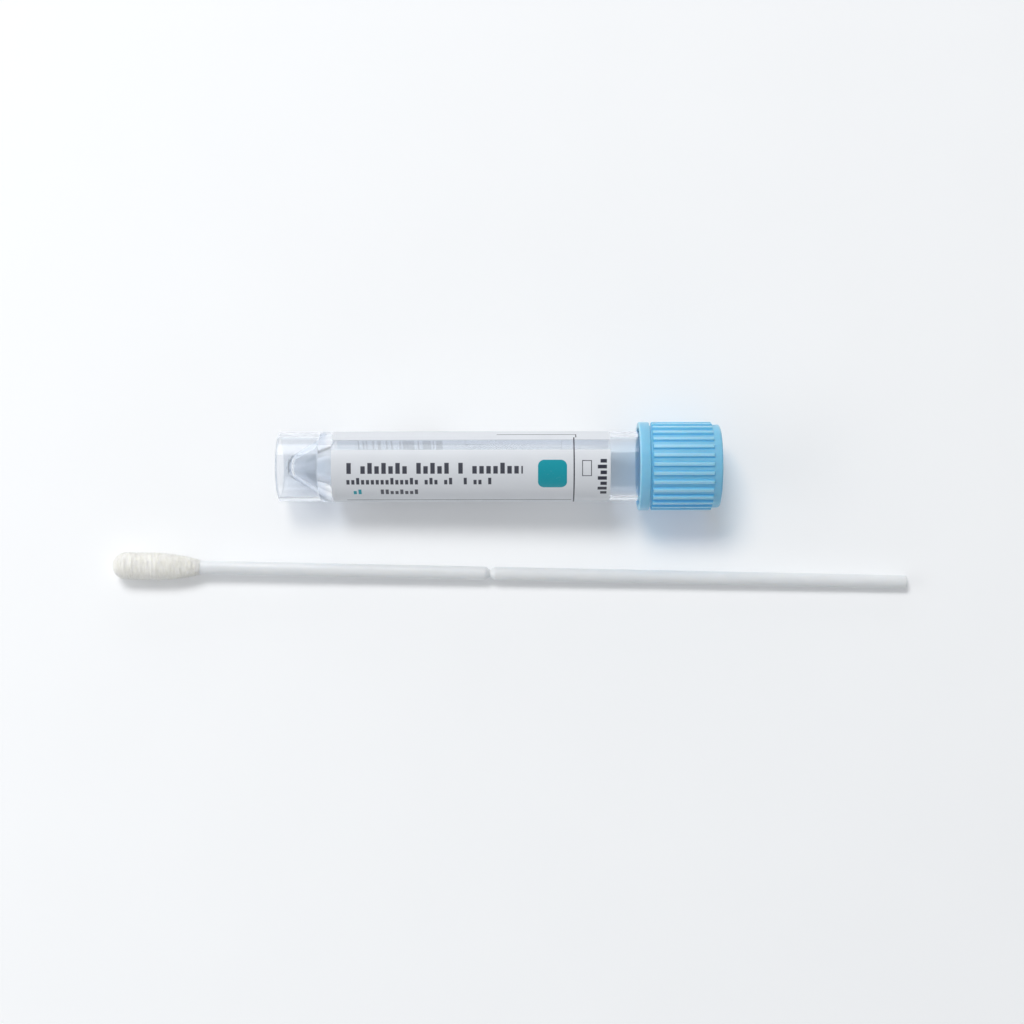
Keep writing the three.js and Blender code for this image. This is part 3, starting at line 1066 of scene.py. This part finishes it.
def make_bud(material):
    heights = [BUD_LENGTH * (i / BUD_RINGS) ** 1.15 for i in range(1, BUD_RINGS + 1)]
    outline = [(bud_radius(h), h) for h in heights]
    profile = [(0.05, 0.002), *outline, (1.1, BUD_LENGTH - 0.1), (0.9, 2.8), (0.05, 2.8)]
    bud = turned("swab_fibre_bud", profile, BUD_SIDES)
    bands = bpy.data.textures.new("winding", "WOOD")
    bands.wood_type = "BANDNOISE"
    bands.noise_scale = 0.9
    bands.turbulence = 9
    lumps = bpy.data.textures.new("lumps", "CLOUDS")
    lumps.noise_scale = 0.9
    lumps.noise_depth = 3
    rule = bpy.data.objects.new("winding_rule", None)
    bpy.context.scene.collection.objects.link(rule)
    rule.scale = (12, 12, 1.1)  # draws the bands out round the bud
    bpy.context.view_layer.update()
    apply_modifier(
        bud,
        "DISPLACE",
        texture=bands,
        texture_coords="OBJECT",
        texture_coords_object=rule,
        strength=0.09,
        mid_level=1.0,
    )
    apply_modifier(
        bud, "DISPLACE", texture=lumps, texture_coords="LOCAL", strength=0.12, mid_level=0.9
    )
    bpy.data.objects.remove(rule)
    choose(bud)
    bpy.ops.object.shade_smooth()
    put(bud, SWAB_FRAME)
    give(bud, material)
    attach(bud, "tube_and_swab")
    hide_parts("swab_tip")


def press_on_floor(piece):
    """Lifts what would reach into the floor up to it."""
    edit(piece)
    mesh = bmesh.from_edit_mesh(piece.data)
    for vertex in mesh.verts:
        vertex.co.z = max(vertex.co.z, 0)
    bmesh.update_edit_mesh(piece.data)
    done()


def make_loose_fibres(material):
    """Short ends of the wound fibre that stand a little off the bud."""
    lines = bpy.data.curves.new("swab_loose_fibres", "CURVE")
    lines.dimensions = "3D"
    lines.bevel_depth = FIBRE_RADIUS
    lines.bevel_resolution = 0
    lines.use_fill_caps = True
    for _ in range(FIBRES):
        height = random.uniform(0.15, BUD_LENGTH - 0.3)
        angle = random.uniform(0, 2 * math.pi)
        sweep = random.uniform(0.25, 0.9) * random.choice((-1, 1))
        climb = random.gauss(0, 0.25)
        lift = abs(random.gauss(0, 0.09))
        line = lines.splines.new("POLY")
        line.points.add(FIBRE_POINTS - 1)
        for i in range(FIBRE_POINTS):
            share = i / (FIBRE_POINTS - 1)
            here = min(max(height + climb * share, 0.05), BUD_LENGTH)
            turn = angle + sweep * share
            radius = bud_radius(here) - 0.06 + (0.03 + lift) * share + 0.03 * math.sin(9 * share)
            line.points[i].co = (radius * math.cos(turn), radius * math.sin(turn), here, 1)
    fibres = bpy.data.objects.new("swab_loose_fibres", lines)
    bpy.context.scene.collection.objects.link(fibres)
    choose(fibres)
    bpy.ops.object.convert(target="MESH")
    fibres = bpy.context.object
    merge_close(fibres)
    bpy.ops.object.shade_smooth()
    put(fibres, SWAB_FRAME)
    press_on_floor(fibres)
    give(fibres, material)
    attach(fibres, "tube_and_swab")


# ---- stage -------------------------------------------------------------------------------------

CAMERA_PLACE = Vector((-0.006, -0.025, 0.3295))
CAMERA_AIM = Vector((0.0, -0.001, 0.003))
LENS = 60.0
FLOOR_SIZE = 8.0
FLOOR_LIFT = 0.12  # glow that only straight looks at the floor see
FADE_START = 0.15  # from here, out from the part, the floor fades into the backdrop
FADE_END = 0.42
BACKDROP = (0.87, 0.885, 0.905, 1)
SKY = (0.93, 0.96, 1.0, 1)
SKY_STRENGTH = 0.34

LAMPS = (
    {"name": "key", "place": (-0.36, 0.72, 1.2), "size": (0.56, 0.42), "power": 11.8},
    {"name": "sheen", "place": (-0.22, 0.52, 0.42), "size": (0.6, 0.42), "power": 1.8},
    {"name": "back", "place": (-0.1, 0.7, 0.2), "size": (0.9, 0.2), "power": 0.65},
    {"name": "left", "place": (-0.48, -0.02, 0.25), "size": (0.5, 0.2), "power": 0.65},
    {"name": "front", "place": (-0.1, -0.7, 0.13), "size": (0.9, 0.2), "power": 0.6},
)
NO_LIGHT = ("sheen",)  # these only show in gloss
NO_SHINE = ("key", "back")  # and these don't show in it


def make_camera():
    data = bpy.data.cameras.new("camera")
    data.lens = LENS
    data.sensor_width = 36
    data.clip_start = 0.01
    data.clip_end = 20
    camera = bpy.data.objects.new("camera", data)
    bpy.context.scene.collection.objects.link(camera)
    camera.location = CAMERA_PLACE
    ahead = (CAMERA_AIM - CAMERA_PLACE).normalized()
    up = Vector((1, 0, 0)).cross(ahead).normalized()
    camera.rotation_euler = Matrix((ahead.cross(up), up, -ahead)).transposed().to_euler()
    bpy.context.scene.camera = camera


def make_lamp(name, place, size, power):
    """A soft lamp aimed at the part. It lights surfaces, shows in their gloss, or both."""
    data = bpy.data.lights.new(name, "AREA")
    data.shape = "RECTANGLE"
    data.size, data.size_y = size
    data.energy = power
    lamp = bpy.data.objects.new(name, data)
    bpy.context.scene.collection.objects.link(lamp)
    lamp.location = place
    lamp.rotation_mode = "QUATERNION"
    lamp.rotation_quaternion = (-Vector(place)).to_track_quat("-Z", "Y")
    lamp.visible_diffuse = name not in NO_LIGHT
    lamp.visible_glossy = name not in NO_SHINE
    lamp.visible_transmission = False


def seen_directly(finish, gloss=True):
    """1 for rays that see the background, straight or through clear plastic. With gloss set it is
    also 1 for rays off glossy surfaces."""
    kinds = ["Camera", "Transmission"]
    if gloss:
        kinds.append("Glossy")
    return any_of([finish.ray(kind) for kind in kinds])


def make_floor():
    """A pale floor. To straight looks it fades, away from the part, into the backdrop's colour."""
    deselect()
    bpy.ops.mesh.primitive_plane_add(size=FLOOR_SIZE)
    floor = named("floor")
    finish = Finish("pale_floor")
    coordinates = finish.node("TexCoord", output=3)
    paper = finish.noise(coordinates, 40.0, 3.0)
    matt = finish.node(
        "BsdfDiffuse", Color=finish.mix(paper, (0.85, 0.86, 0.87, 1), (0.87, 0.88, 0.89, 1))
    )
    glow = seen_directly(finish) * FLOOR_LIFT
    lift = finish.node("Emission", Color=(1, 1, 1, 1), Strength=glow)
    near = finish.node("AddShader", in_0=matt, in_1=lift)
    far = finish.node("Emission", Color=BACKDROP, Strength=1.0)
    distance = finish.node("VectorMath", {"operation": "LENGTH"}, output=1, in_0=coordinates)
    fade = ((distance - FADE_START) / (FADE_END - FADE_START)).clamped()
    fade = fade * fade * (3 - 2 * fade) * seen_directly(finish, gloss=False)
    give(floor, finish.show(finish.node("MixShader", in_0=fade, in_1=near, in_2=far)))


def make_world():
    """Soft light from all round. Where the camera looks past the floor it sees the backdrop."""
    world = Finish("studio", world=True)
    light = world.node("Background", Color=SKY, Strength=SKY_STRENGTH)
    backdrop = world.node("Background", Color=BACKDROP)
    shown = world.node("MixShader", in_0=world.ray("Camera"), in_1=light, in_2=backdrop)
    bpy.context.scene.world = world.show(shown)


# ---- build -------------------------------------------------------------------------------------


def main():
    bpy.context.scene.view_settings.view_transform = "Standard"
    make_camera()
    make_floor()
    make_world()
    for lamp in LAMPS:
        make_lamp(**lamp)
    make_tube(clear_plastic())
    make_liquid(clear_liquid())
    make_label(label_film())
    make_cap(cap_plastic())
    make_seal(seal_rubber())
    make_shaft(shaft_plastic())
    make_bud(wound_fibre("wound_fibre"))
    make_loose_fibres(wound_fibre("loose_fibre", loose=True))


main()
